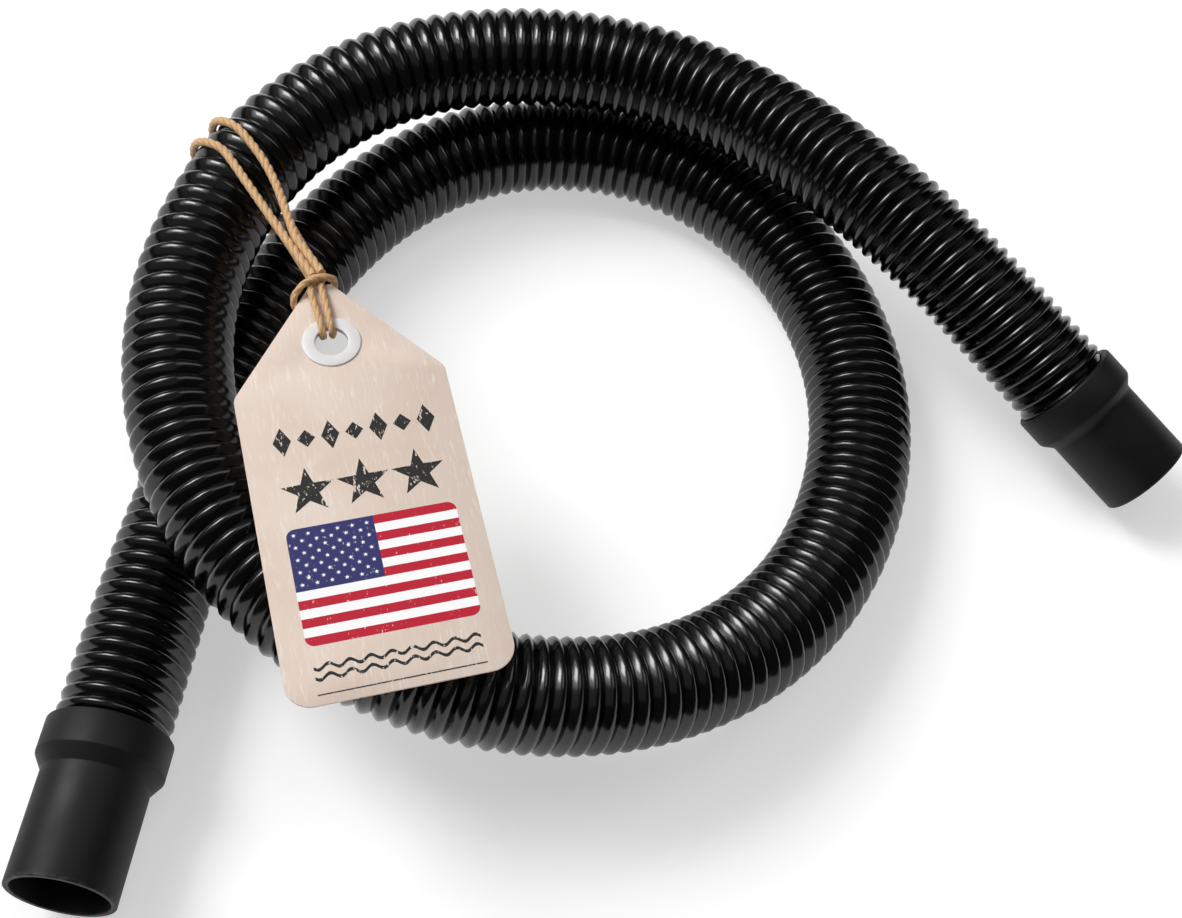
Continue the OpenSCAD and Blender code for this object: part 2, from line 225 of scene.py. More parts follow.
def makeHose(o, material):
    line = measured(bSpline([mm(*p) for p in o["route"]], o["perSpan"]),
                    ups=np.array([[0.0, 0.0, 1.0]]))
    full = line["s"][-1]
    # ribs passed at each place along the hose
    places = np.linspace(o["pitches"][0][0], o["pitches"][-1][0], o["pitchSamples"])
    local = np.interp(places, *zip(*o["pitches"]))
    passed = np.concatenate([[0], np.cumsum(2 * np.diff(places) / (local[1:] + local[:-1]))])
    pitch = mm(o["evenPitch"])
    crest = mm(o["od"]) / 2
    bm = bmesh.new()
    # one pitch of the wall, from groove to groove
    half = [(pitch * a, crest - mm(d)) for a, d in o["rib"]]
    wall = [(-z, r) for z, r in reversed(half[1:])] + half
    turns = o["firstTurns"]
    made = [bm.verts.new((r, 0, z - turns * pitch)) for z, r in wall]
    edges = [bm.edges.new(pair) for pair in zip(made, made[1:])]
    # left-handed spiral: the profile turns back as it climbs, then the turns are doubled
    bmesh.ops.spin(bm, geom=made + edges, cent=(0, 0, 0), axis=(0, 0, 1),
                   dvec=(0, 0, pitch / o["around"]), angle=-2 * math.pi * turns,
                   steps=o["around"] * turns, use_merge=False)
    while turns < passed[-1]:
        copied = bmesh.ops.duplicate(bm, geom=bm.verts[:] + bm.edges[:] + bm.faces[:])["geom"]
        bmesh.ops.translate(bm, verts=[g for g in copied if isinstance(g, bmesh.types.BMVert)],
                            vec=(0, 0, turns * pitch))
        turns *= 2
    bmesh.ops.remove_doubles(bm, verts=bm.verts, dist=mm(o["mergeWithin"]))
    # even turns are drawn out to their own pitches, and the beads' grooves are deepened
    drawn = np.interp([v.co.z / pitch for v in bm.verts], passed, places)
    depths = [d for a, d in o["rib"]]
    for v, z in zip(bm.verts, drawn):
        r = math.hypot(v.co.x, v.co.y)
        depth = (crest - r) * perMetre
        bead = np.interp(z, o["beadFrom"], (0, 1)) * (np.interp(depth, depths, o["bead"]) - depth)
        v.co = ((r - mm(bead)) / r * v.co.x, (r - mm(bead)) / r * v.co.y, mm(z))
    for z, facing in ((0, -1), (full, 1)):
        bmesh.ops.bisect_plane(bm, geom=bm.verts[:] + bm.edges[:] + bm.faces[:], dist=mm(0.001),
                               plane_co=(0, 0, z), plane_no=(0, 0, facing), clear_outer=True)
    # plain ends, where the hose sits in its fittings
    plain = mm(o["endOd"]) / 2
    for v in bm.verts:
        if v.co.z < mm(o["endSwivel"]) or v.co.z > full - mm(o["endFixed"]):
            r = math.hypot(v.co.x, v.co.y)
            if r > plain:
                v.co.x *= plain / r
                v.co.y *= plain / r
    # smooth bore, joined to the wall at both ends
    bore = mm(o["bore"]) / 2
    bmesh.ops.create_cone(bm, cap_ends=False, segments=o["around"], radius1=bore,
                          radius2=bore, depth=full,
                          matrix=Matrix.Translation((0, 0, full / 2)))
    long = [e for e in bm.edges if abs(e.verts[0].co.z - e.verts[1].co.z) > full / 2]
    bmesh.ops.subdivide_edges(bm, edges=long, cuts=o["boreCuts"], use_grid_fill=True)
    for z in (0, full):
        rim = [e for e in bm.edges if e.is_boundary
               and all(abs(v.co.z - z) < mm(0.05) for v in e.verts)]
        bmesh.ops.bridge_loops(bm, edges=rim)
    bmesh.ops.recalc_face_normals(bm, faces=bm.faces)
    layAlong(bm, line)
    piece = finishMesh(bm, "ribbedHose", [material], "hose_body", sharp=60)
    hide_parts("hose")
    return piece, line


# blow-moulded polyethylene: a tight gloss over black, a little wavy, dull where it was handled
def hosePlastic():
    material, tree, shader = newMaterial("blowMouldedPolyethylene")
    where = objectPoints(tree)
    # handled patches about 22 mm across, and waves in the skin of about 2 mm
    cloud = addNode(tree, "ShaderNodeTexNoise",
                    inputs={"Scale": 45, "Detail": 5, "Roughness": 0.6},
                    links={"Vector": where}).outputs["Fac"]
    skin = addNode(tree, "ShaderNodeTexNoise", inputs={"Scale": 500, "Detail": 2},
                   links={"Vector": where}).outputs["Fac"]
    gloss = addNode(tree, "ShaderNodeMapRange",
                    inputs={"From Min": 0.35, "From Max": 0.7, "To Min": 0.13, "To Max": 0.2},
                    links={"Value": cloud})
    tint = addNode(tree, "ShaderNodeValToRGB", links={"Fac": cloud},
                   stops=[(0.3, "#020202"), (0.75, "#060606")])
    wave = addNode(tree, "ShaderNodeBump", inputs={"Strength": 0.06, "Distance": mm(0.1)},
                   links={"Height": skin})
    plug(tree, shader, {"IOR": 1.51},
         {"Base Color": tint.outputs["Color"], "Roughness": gloss.outputs["Result"],
          "Normal": wave.outputs["Normal"]})
    return material


print("hose")
hose, hoseLine = makeHose(hoseSet, hosePlastic())
print("hose length", round(float(hoseLine["s"][-1]), 4), "faces", len(hose.data.polygons))


def standAlong(bm, place, aim):
    # a piece built on +Z from the origin is stood at place, pointing along aim
    lean = math.acos(aim[2])
    turn = math.atan2(aim[1], aim[0])
    bmesh.ops.transform(bm, verts=bm.verts, matrix=Matrix.Translation(mm(*place))
                        @ Matrix.Rotation(turn, 4, "Z") @ Matrix.Rotation(lean, 4, "Y"))


def spunRing(wall, steps, edge, sharpEdge=20.0):
    # a closed section turned once about +Z, its hard edges rounded
    bm = bmesh.new()
    made = [bm.verts.new((mm(r), 0, mm(z))) for r, z in wall]
    edges = [bm.edges.new(pair) for pair in zip(made, made[1:] + made[:1])]
    bmesh.ops.spin(bm, geom=made + edges, cent=(0, 0, 0), axis=(0, 0, 1), dvec=(0, 0, 0),
                   angle=2 * math.pi, steps=steps, use_merge=True)
    bmesh.ops.remove_doubles(bm, verts=bm.verts, dist=mm(0.001))
    bmesh.ops.recalc_face_normals(bm, faces=bm.faces)
    hard = [e for e in bm.edges if len(e.link_faces) == 2
            and e.calc_face_angle() > math.radians(sharpEdge)]
    bmesh.ops.bevel(bm, geom=hard, offset=mm(edge), offset_type="OFFSET", segments=3,
                    profile=0.5, affect="EDGES", material=-1, clamp_overlap=True)
    return bm


# moulded polyethylene with a satin skin: broad soft lights, faint sinks, a mouth rim paler in
# patches
def cuffPlastic(name, o):
    material, tree, shader = newMaterial(name)
    where = objectPoints(tree)
    # drifts about 17 mm across, and a grain of about 0.4 mm, drawn coarse so that it shows
    cloud = addNode(tree, "ShaderNodeTexNoise",
                    inputs={"Scale": 60, "Detail": 4, "Roughness": 0.55},
                    links={"Vector": where}).outputs["Fac"]
    grain = addNode(tree, "ShaderNodeTexNoise", inputs={"Scale": 2600, "Detail": 2},
                    links={"Vector": where}).outputs["Fac"]
    # the rim is paler grey in patches of about 2 mm, from 1.6 mm off the mouth
    lean, turn = math.acos(o["aim"][2]), math.atan2(o["aim"][1], o["aim"][0])
    local = objectPoints(tree, turn=(0, lean, turn), place=mm(*o["mouth"]), kind="TEXTURE")
    fromMouth = addNode(tree, "ShaderNodeSeparateXYZ", links={"Vector": local}).outputs["Z"]
    rim = addNode(tree, "ShaderNodeMapRange", inputs={
        "From Min": mm(1.6), "From Max": mm(0.2), "To Min": 0, "To Max": 1},
        links={"Value": fromMouth}).outputs["Result"]
    rimNoise = addNode(tree, "ShaderNodeTexNoise", inputs={"Scale": 420, "Detail": 4},
                     links={"Vector": where}).outputs["Fac"]
    patches = addNode(tree, "ShaderNodeMapRange", inputs={
        "From Min": 0.42, "From Max": 0.62, "To Min": 0, "To Max": 1},
        links={"Value": rimNoise}).outputs["Result"]
    patchy = addNode(tree, "ShaderNodeMath", {"operation": "MULTIPLY", "use_clamp": True},
                   links={0: rim, 1: patches}).outputs[0]
    blacks = addNode(tree, "ShaderNodeValToRGB", links={"Fac": cloud},
                     stops=[(0.3, "#0a0a0b"), (0.72, "#111112")]).outputs["Color"]
    tint = addNode(tree, "ShaderNodeMix", {"data_type": "RGBA"}, {"B": linear("#353535")},
                   {"Factor": patchy, "A": blacks})
    height = addNode(tree, "ShaderNodeMapRange", inputs={
        "From Min": 0, "From Max": 1, "To Min": 0, "To Max": 0.35},
        links={"Value": grain}).outputs["Result"]
    for place, radius in o["sinks"]:
        dip = addNode(tree, "ShaderNodeTexGradient", {"gradient_type": "SPHERICAL"}, links={
            "Vector": objectPoints(tree, (mm(radius),) * 3, place=mm(*place), kind="TEXTURE")})
        soft = addNode(tree, "ShaderNodeMath", {"operation": "MULTIPLY"}, {1: -6.0},
                       {0: dip.outputs["Fac"]})
        height = addNode(tree, "ShaderNodeMath", {"operation": "ADD"},
                         links={0: height, 1: soft.outputs[0]}).outputs[0]
    bump = addNode(tree, "ShaderNodeBump", inputs={"Strength": 0.25, "Distance": mm(0.1)},
                   links={"Height": height})
    gloss = addNode(tree, "ShaderNodeMapRange",
                    inputs={"From Min": 0.3, "From Max": 0.75, "To Min": 0.48, "To Max": 0.6},
                    links={"Value": cloud})
    plug(tree, shader, {"IOR": 1.5, "Specular IOR Level": 0.25},
         {"Base Color": tint.outputs["Result"], "Roughness": gloss.outputs["Result"],
          "Normal": bump.outputs["Normal"]})
    return material


print("cuffs")
swivelSet = {
    "mouth": (-200, -224.9, 25.5),
    "aim": (0.0, 1.0, 0.0),
    # radius and distance from the mouth, with the chamber that traps the sleeve's flange
    "wall": [(19.2, 0), (21.6, 0), (21.6, 46), (25.5, 52), (25.5, 66), (23.6, 66),
             (23.6, 57.1), (24.3, 57.1), (24.3, 52), (19.2, 52)],
    "around": 96,
    "edge": 0.5,
    "sinks": [],
}
fixedSet = {
    "mouth": (222.22, 41.78, 20.05),
    "aim": (-0.77973, 0.49816, 0.37903),
    "wall": [(19.2, 0), (21.6, 0), (21.6, 38), (25.5, 42.5), (25.5, 56.5), (21.5, 56.5),
             (21.5, 42.5), (19.2, 42.5)],
    "around": 96,
    "edge": 1.1,
    # shallow sinks in the collar: middle and radius
    "sinks": [((177.6, 40.9, 41.6), 2.6), ((191.6, 43, 49.2), 2.2),
              ((171.2, 45, 45.1), 2.4)],
}


def makeCuff(o, name, node, body, material):
    bm = spunRing(o["wall"], o["around"], o["edge"])
    standAlong(bm, o["mouth"], o["aim"])
    piece = finishMesh(bm, name, [material], body, sharp=50)
    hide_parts(node)
    return piece


makeCuff(swivelSet, "swivelCuff", "swivel_cuff", "swivel",
         cuffPlastic("satinMouldedCuff", swivelSet))
fixedCuff = makeCuff(fixedSet, "fixedCuff", "fixed_cuff", "hose_body",
                     cuffPlastic("satinMouldedEndCuff", fixedSet))


# plain moulded plastic, unseen inside the cuff: grey-black and dull, in patches of about 6 mm
def sleevePlastic():
    material, tree, shader = newMaterial("plainMouldedNylon")
    cloud = addNode(tree, "ShaderNodeTexNoise", inputs={"Scale": 180, "Detail": 4},
                    links={"Vector": objectPoints(tree)}).outputs["Fac"]
    tint = addNode(tree, "ShaderNodeValToRGB", links={"Fac": cloud},
                   stops=[(0.3, "#262628"), (0.7, "#333335")])
    gloss = addNode(tree, "ShaderNodeMapRange",
                    inputs={"From Min": 0.3, "From Max": 0.7, "To Min": 0.4, "To Max": 0.55},
                    links={"Value": cloud})
    plug(tree, shader, {"IOR": 1.53},
         {"Base Color": tint.outputs["Color"], "Roughness": gloss.outputs["Result"]})
    return material


# die-cut rubber sheet: flat black with no gloss, and a grain drawn coarse at about 0.5 mm
def sealRubber():
    material, tree, shader = newMaterial("dieCutRubber")
    grain = addNode(tree, "ShaderNodeTexNoise", inputs={"Scale": 2200, "Detail": 3},
                    links={"Vector": objectPoints(tree)}).outputs["Fac"]
    tint = addNode(tree, "ShaderNodeValToRGB", links={"Fac": grain},
                   stops=[(0.3, "#111111"), (0.7, "#1b1b1b")])
    bump = addNode(tree, "ShaderNodeBump", inputs={"Strength": 0.4, "Distance": mm(0.1)},
                   links={"Height": grain})
    plug(tree, shader, {"Roughness": 0.8, "IOR": 1.52},
         {"Base Color": tint.outputs["Color"], "Normal": bump.outputs["Normal"]})
    return material


for node, material in (("swivel_sleeve", sleevePlastic()), ("swivel_seal", sealRubber())):
    nodes[node].data.materials.clear()
    nodes[node].data.materials.append(material)


print("tag")
tagSet = {
    "knot": (-152, 22, 102.4),
    "turn": -68,
    "slope": 2.4,
    "thick": 0.8,
    # outline from the tip down, with the radius of each corner
    "outline": [(4.3, -4.5, 2), (53.3, -42.5, 6), (188.3, -42.5, 10),
                (188.3, 42.5, 10), (53.3, 42.5, 6), (4.3, 4.5, 2)],
    "cornerSegments": 10,
    "softEdge": 0.14,
    "eyeletAt": 33.3,
    "hole": 7.5,
    "holeSegments": 64,
}
tagTurn = Euler((0, math.radians(tagSet["slope"]), math.radians(tagSet["turn"])))
tagPlace = Matrix.Translation(mm(*tagSet["knot"])) @ tagTurn.to_matrix().to_4x4()


def tagPoints(tree, scale=(1, 1, 1)):
    # the card's own frame: x down the card, y across it, z off its face
    points = objectPoints(tree, turn=tuple(tagTurn), place=mm(*tagSet["knot"]), kind="TEXTURE")
    return addNode(tree, "ShaderNodeMapping", inputs={"Scale": scale},
                   links={"Vector": points}).outputs["Vector"]


def paperTint(tree):
    # light streaks of about 1 x 7 mm down the card, over a slow drift of two beiges
    clouds = addNode(tree, "ShaderNodeTexNoise", inputs={"Scale": 26, "Detail": 3},
                     links={"Vector": tagPoints(tree)}).outputs["Fac"]
    drift = addNode(tree, "ShaderNodeValToRGB", links={"Fac": clouds},
                    stops=[(0.3, "#dcc8b9"), (0.7, "#e5d5c8")]).outputs["Color"]
    streaks = addNode(tree, "ShaderNodeTexNoise",
                      inputs={"Scale": 900, "Detail": 4, "Roughness": 0.62},
                      links={"Vector": tagPoints(tree, (0.16, 1, 1))}).outputs["Fac"]
    # they come and go over about 17 mm
    zones = addNode(tree, "ShaderNodeTexNoise", inputs={"Scale": 60, "Detail": 2},
                    links={"Vector": tagPoints(tree)}).outputs["Fac"]
    strong = addNode(tree, "ShaderNodeMapRange", inputs={
        "From Min": 0.52, "From Max": 0.72, "To Min": 0, "To Max": 0.85},
        links={"Value": streaks}).outputs["Result"]
    there = addNode(tree, "ShaderNodeMapRange", inputs={
        "From Min": 0.4, "From Max": 0.6, "To Min": 0.25, "To Max": 1},
        links={"Value": zones}).outputs["Result"]
    mask = addNode(tree, "ShaderNodeMath", {"operation": "MULTIPLY", "use_clamp": True},
                   links={0: strong, 1: there}).outputs[0]
    return addNode(tree, "ShaderNodeMix", {"data_type": "RGBA"}, {"B": linear("#f1e6dc")},
                   {"Factor": mask, "A": drift}).outputs["Result"]


# uncoated tag card: beige, matt, with a felt of fibres that catches side light
def tagPaper():
    material, tree, shader = newMaterial("uncoatedTagCard")
    # fibres of about 0.7 x 1.7 mm, drawn coarse so that they show
    fibre = addNode(tree, "ShaderNodeTexNoise",
                    inputs={"Scale": 1500, "Detail": 4, "Roughness": 0.6},
                    links={"Vector": tagPoints(tree, (0.4, 1, 1))}).outputs["Fac"]
    bump = addNode(tree, "ShaderNodeBump", inputs={"Strength": 0.18, "Distance": mm(0.1)},
                   links={"Height": fibre})
    plug(tree, shader, {"Roughness": 0.85, "IOR": 1.45, "Specular IOR Level": 0.3},
         {"Base Color": paperTint(tree), "Normal": bump.outputs["Normal"]})
    return material


# letterpress ink: flat and slightly glossier than the card, broken by small specks of paper
def wornInk(name, code, wear):
    material, tree, shader = newMaterial(name)
    # specks of about 1.2 mm, more of them in patches of about 8 mm
    specks = addNode(tree, "ShaderNodeTexNoise",
                     inputs={"Scale": 850, "Detail": 3, "Roughness": 0.7},
                     links={"Vector": tagPoints(tree, (0.55, 1, 1))}).outputs["Fac"]
    patches = addNode(tree, "ShaderNodeTexNoise", inputs={"Scale": 130, "Detail": 3},
                      links={"Vector": tagPoints(tree)}).outputs["Fac"]
    more = addNode(tree, "ShaderNodeMapRange", inputs={
        "From Min": 0.3, "From Max": 0.7, "To Min": -0.06, "To Max": 0.05},
        links={"Value": patches}).outputs["Result"]
    patchy = addNode(tree, "ShaderNodeMath", {"operation": "ADD"},
                   links={0: specks, 1: more}).outputs[0]
    mask = addNode(tree, "ShaderNodeMapRange", inputs={
        "From Min": wear, "From Max": wear + 0.03, "To Min": 0, "To Max": 1},
        links={"Value": patchy}).outputs["Result"]
    tint = addNode(tree, "ShaderNodeMix", {"data_type": "RGBA"}, {"A": linear(code)},
                   {"Factor": mask, "B": paperTint(tree)})
    gloss = addNode(tree, "ShaderNodeMapRange",
                    inputs={"From Min": 0, "From Max": 1, "To Min": 0.6, "To Max": 0.85},
                    links={"Value": mask})
    plug(tree, shader, {"IOR": 1.48, "Specular IOR Level": 0.3},
         {"Base Color": tint.outputs["Result"], "Roughness": gloss.outputs["Result"]})
    return material


def makeCard(o):
    bm = bmesh.new()
    made = [bm.verts.new((mm(x), mm(y), mm(o["thick"] / 2))) for x, y, r in o["outline"]]
    for pair in zip(made, made[1:] + made[:1]):
        bm.edges.new(pair)
    bmesh.ops.contextual_create(bm, geom=bm.edges[:])
    # corners are cut one by one, each by its own radius
    for x, y, r in o["outline"]:
        v = min(bm.verts, key=lambda q: (q.co.xy - Vector(mm(x, y))).length)
        a, b = [(e.other_vert(v).co - v.co).normalized() for e in v.link_edges]
        bmesh.ops.bevel(bm, geom=[v], offset=mm(r) / math.tan(a.angle(b) / 2),
                        offset_type="OFFSET", segments=o["cornerSegments"], profile=0.5,
                        affect="VERTICES", material=-1, clamp_overlap=False)
    bmesh.ops.delete(bm, geom=bm.faces[:], context="FACES_ONLY")
    bmesh.ops.create_circle(bm, cap_ends=False, segments=o["holeSegments"],
                            radius=mm(o["hole"]),
                            matrix=Matrix.Translation(mm(o["eyeletAt"], 0, o["thick"] / 2)))
    bmesh.ops.triangle_fill(bm, use_beauty=True, use_dissolve=False, edges=bm.edges[:],
                            normal=(0, 0, 1))
    under = bmesh.ops.extrude_face_region(bm, geom=bm.faces[:])["geom"]
    bmesh.ops.translate(bm, vec=(0, 0, -mm(o["thick"])),
                        verts=[g for g in under if isinstance(g, bmesh.types.BMVert)])
    bmesh.ops.recalc_face_normals(bm, faces=bm.faces)
    # a cut edge that is a little soft, where the faces meet at more than 1.2 radians
    rim = [e for e in bm.edges if len(e.link_faces) == 2 and e.calc_face_angle() > 1.2
           and abs(e.verts[0].co.z - e.verts[1].co.z) < mm(0.01)]
    bmesh.ops.bevel(bm, geom=rim, offset=mm(o["softEdge"]), offset_type="OFFSET", segments=2,
                    profile=0.5, affect="EDGES", material=-1, clamp_overlap=True)
    bmesh.ops.transform(bm, matrix=tagPlace, verts=bm.verts)
    piece = finishMesh(bm, "tagCard", [tagPaper()], "tag", sharp=40)
    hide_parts("tag_card")


makeCard(tagSet)

printSet = {
    "lift": 0.02,              # the inks stand this far off the card
    "thick": 0.05,             # of the inks, which reach into the card
    "middle": 0.2,             # of the waves and the rule, across the card
    "flagTop": 115.6,
    "stripe": 3.8,
    "stripes": 13,
    "unionStripes": 7,
    "flagLeft": -32.0,
    "flagRight": 33.5,
    "unionRight": 1.5,
    "flagCorner": 3.6,
    # rows of 6 and 5 small stars in turn, in 12 half steps across
    "starRows": 9,
    "starSteps": 12,
    "starSize": 1.95,
    "starThick": 0.03,
    "diamondsAt": 76.5,
    "diamonds": [-27, -17.5, -8, 1.5, 11, 20.5, 30],
    "diamondTall": (6.6, 4.0),
    "diamondWide": 3.6,
    "bigStarsAt": 100.2,
    "bigStars": [-20.5, 1.0, 22.5],
    "bigStarSize": 21.5,
    "wavesAt": (173.6, 177.6),
    "waveLength": 62,
    "waveThick": 1.4,
    "waveHeight": 1.05,
    "waveStep": 7.75,
    "waveCuts": 96,
    "ruleAt": 184.4,
    "ruleLength": 62.4,
    "ruleThick": 0.55,
}


def starFace(bm, x, y, z, size, inner=0.4):
    # a five-pointed star whose tip points up the card
    ring = bmesh.ops.create_circle(bm, cap_ends=True, segments=10, radius=1)["verts"]
    for i, v in enumerate(ring):
        r = mm(size) / 2 * (1 if i % 2 == 0 else inner)
        angle = math.radians(180 + 36 * i)
        v.co = Vector((mm(x) + r * math.cos(angle), mm(y) + r * math.sin(angle), mm(z)))


def sinkInk(bm, depth):
    # the flat inks get a thickness, so that they close on themselves
    for face in bm.faces:
        if face.normal.z < 0:
            face.normal_flip()
    under = bmesh.ops.extrude_face_region(bm, geom=bm.faces[:], use_keep_orig=True)["geom"]
    bmesh.ops.translate(bm, vec=(0, 0, -mm(depth)),
                        verts=[g for g in under if isinstance(g, bmesh.types.BMVert)])
    bmesh.ops.recalc_face_normals(bm, faces=bm.faces)
    bmesh.ops.transform(bm, matrix=tagPlace, verts=bm.verts)


def makeFlag(o, inks):
    top = tagSet["thick"] / 2 + o["lift"]
    bm = bmesh.new()
    # the stripes down the card, split where the blue union ends
    bmesh.ops.create_grid(bm, x_segments=o["stripes"], y_segments=2, size=0.5)
    low = o["flagTop"] + o["stripes"] * o["stripe"]
    sides = (o["flagLeft"], o["unionRight"], o["flagRight"])
    for v in bm.verts:
        v.co = mm(o["flagTop"] + (low - o["flagTop"]) * (v.co.x + 0.5),
                  sides[round((v.co.y + 0.5) * 2)], top)
    for face in bm.faces:
        middle = face.calc_center_median()
        row = int((middle.x * perMetre - o["flagTop"]) / o["stripe"])
        blue = row < o["unionStripes"] and middle.y < mm(o["unionRight"])
        face.material_index = 2 if blue else row % 2
    corners = [v for v in bm.verts if len(v.link_edges) == 2]
    bmesh.ops.bevel(bm, geom=corners, offset=mm(o["flagCorner"]), offset_type="OFFSET",
                    segments=8, profile=0.5, affect="VERTICES", material=-1, clamp_overlap=False)
    sinkInk(bm, o["thick"])
    panel = finishMesh(bm, "tagFlagPanel", inks, "tag", sharp=30)
    # fifty small stars in staggered rows
    bm = bmesh.new()
    rowGap = o["unionStripes"] * o["stripe"] / (o["starRows"] + 1)
    acrossGap = (o["unionRight"] - o["flagLeft"]) / o["starSteps"]
    for row in range(o["starRows"]):
        first = 1 + row % 2
        for step in range(first, o["starSteps"], 2):
            starFace(bm, o["flagTop"] + rowGap * (row + 1), o["flagLeft"] + acrossGap * step,
                     top + o["lift"], o["starSize"])
    sinkInk(bm, o["starThick"])
    stars = finishMesh(bm, "tagFlagStars", [inks[1]], "tag", sharp=30)


def makeOrnament(o, ink):
    top = tagSet["thick"] / 2 + o["lift"]
    bm = bmesh.new()
    # a row of lozenges, tall and short in turn
    for i, y in enumerate(o["diamonds"]):
        four = bmesh.ops.create_circle(bm, cap_ends=True, segments=4, radius=1)["verts"]
        for v in four:
            v.co = Vector((mm(o["diamondsAt"] + v.co.x * o["diamondTall"][i % 2]),
                           mm(y + v.co.y * o["diamondWide"]), mm(top)))
    for y in o["bigStars"]:
        starFace(bm, o["bigStarsAt"], y, top, o["bigStarSize"])
    # two waves and a thin rule at the foot
    for x in o["wavesAt"]:
        strip = bmesh.ops.create_grid(bm, x_segments=1, y_segments=o["waveCuts"],
                                      size=0.5)["verts"]
        for v in strip:
            y = o["middle"] + o["waveLength"] * v.co.y
            swing = o["waveHeight"] * math.sin(y * 2 * math.pi / o["waveStep"])
            v.co = Vector((mm(x + o["waveThick"] * v.co.x + swing), mm(y), mm(top)))
    rule = bmesh.ops.create_grid(bm, x_segments=1, y_segments=1, size=0.5)["verts"]
    for v in rule:
        v.co = Vector((mm(o["ruleAt"] + o["ruleThick"] * v.co.x),
                       mm(o["middle"] + o["ruleLength"] * v.co.y), mm(top)))
    sinkInk(bm, o["thick"])
    piece = finishMesh(bm, "tagOrnament", [ink], "tag", sharp=30)


makeFlag(printSet, [wornInk("redLetterpressInk", "#be1230", 0.66),
                    wornInk("whiteLetterpressInk", "#fdfdfd", 0.72),
                    wornInk("blueLetterpressInk", "#2e2e6a", 0.66)])
makeOrnament(printSet, wornInk("blackLetterpressInk", "#232323", 0.6))


# moulded white polypropylene: smooth, faintly yellowed, a soft highlight on its rolled edge
def eyeletPlastic():
    material, tree, shader = newMaterial("whiteMouldedPolypropylene")
    # patches about 7 mm across
    cloud = addNode(tree, "ShaderNodeTexNoise", inputs={"Scale": 140, "Detail": 4},
                    links={"Vector": tagPoints(tree)}).outputs["Fac"]
    tint = addNode(tree, "ShaderNodeValToRGB", links={"Fac": cloud},
                   stops=[(0.3, "#dfdcdb"), (0.7, "#eae8e8")])
    gloss = addNode(tree, "ShaderNodeMapRange",
                    inputs={"From Min": 0.3, "From Max": 0.7, "To Min": 0.3, "To Max": 0.42},
                    links={"Value": cloud})
    plug(tree, shader, {"IOR": 1.49, "Subsurface Weight": 0.08,
                        "Subsurface Radius": mm(1.0, 0.9, 0.8)},
         {"Base Color": tint.outputs["Color"], "Roughness": gloss.outputs["Result"]})
    return material


eyeletSet = {
    # radius and height off the card's middle
    "front": [(6.7, -1.15), (6.7, 0.85), (6.85, 1.1), (7.2, 1.2), (9.3, 1.2), (11.3, 1.2),
              (11.8, 1.05), (12.0, 0.42), (7.4, 0.42), (7.4, -1.15)],
    "back": [(7.5, -1.15), (7.7, -1.2), (11.2, -1.2), (11.8, -1.0), (12.0, -0.42), (7.5, -0.42)],
    "around": 72,
    "edge": 0.1,
    "sharpEdge": 40,
}
eyeletMaterial = eyeletPlastic()
for name, key, node in (("tagEyelet", "front", "tag_eyelet"),
                        ("tagEyeletWasher", "back", "tag_eyelet_washer")):
    bm = spunRing(eyeletSet[key], eyeletSet["around"], eyeletSet["edge"], eyeletSet["sharpEdge"])
    bmesh.ops.translate(bm, verts=bm.verts, vec=mm(tagSet["eyeletAt"], 0, 0))
    bmesh.ops.transform(bm, matrix=tagPlace, verts=bm.verts)
    ring = finishMesh(bm, name, [eyeletMaterial], "tag", sharp=50)
    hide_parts(node)


print("twine")
twineSet = {
    "turnRadius": 1.95,
    "hitchRadius": 1.5,
    "perSpan": 12,          # points on the line between two of the route's
    # three round strands side by side, as shares of the twine's radius
    "strandOff": 0.3,
    "strandRadius": 0.7,
    "around": 24,
    "lay": 15.0,            # one full twist of the three strands
    "ring": 0.55,           # gap between the rings of the mesh
    "offHose": 2.15,        # middle of the twine above the crests of the ribs
    "tieAt": 25.7,          # along the hose, in route steps
    "slips": (-0.13, 0.17),
    "leans": (-0.1, -0.22),
    "from": -4,
    "to": -246,
    "bow": 0.2,
    "gap": 4.0,
    "rootOut": 0.2,
    "out": (-0.64, 0.77, 0),
    "meetAt": 26,           # where the two strands come together before the knot
    "meetGap": 3.9,
    "meetDrop": 0.4,
    # points on the way to the hose, round it and back to the knot
    "leadSteps": 5,
    "overSteps": 24,
    "backSteps": 9,
    # the right strand bows out before it reaches the hose: along, across and down from the knot
    "bows": ([], [(50, 8, 3), (72, 11.5, 3.8)]),
    # the hitch in the card's frame: down the face, through the eyelet, up behind,
    # round over the two strands, and back the same way
    "hitch": [
        (-1, -1.9, 0.3), (3, -3.2, 1.3), (6.5, -4.2, 2.3), (10, -4.2, 2.5), (18, -3.6, 2.8),
        (22.5, -3.1, 3.2), (26.6, -2.8, 3.1), (28.7, -2.7, 2.1), (29.3, -2.6, 0),
        (28.7, -2.7, -2.1), (26.6, -2.8, -3.1), (20, -5, -3.1), (15, -8.5, -3),
        (12.6, -11.3, -1.9), (10.6, -12.2, 0.2), (8.3, -10.9, 2.4), (5.8, -7.8, 4),
        (3.9, -3.8, 5), (3.3, 0, 5.3), (3.6, 2.8, 4.9), (3.6, 4.8, 3.4), (2.9, 6, 1.7),
        (2.6, 6.3, 0), (3.6, 6.2, -2), (6, 5.8, -3.1), (10, 5, -3.1), (16, 3.8, -3.1),
        (22, 2.6, -3.1), (26.6, 1.6, -3.1), (28.7, 1.2, -2.1), (29.3, 1, 0), (28.7, 0.9, 2.1),
        (26.6, 0.85, 3.1), (22.5, 0.9, 3.2), (18, 0.9, 2.8), (10, 0.5, 2.5), (6.5, 0.3, 2.4),
        (3, 0.9, 1.3), (-1, 1.9, 0.3),
    ],
}


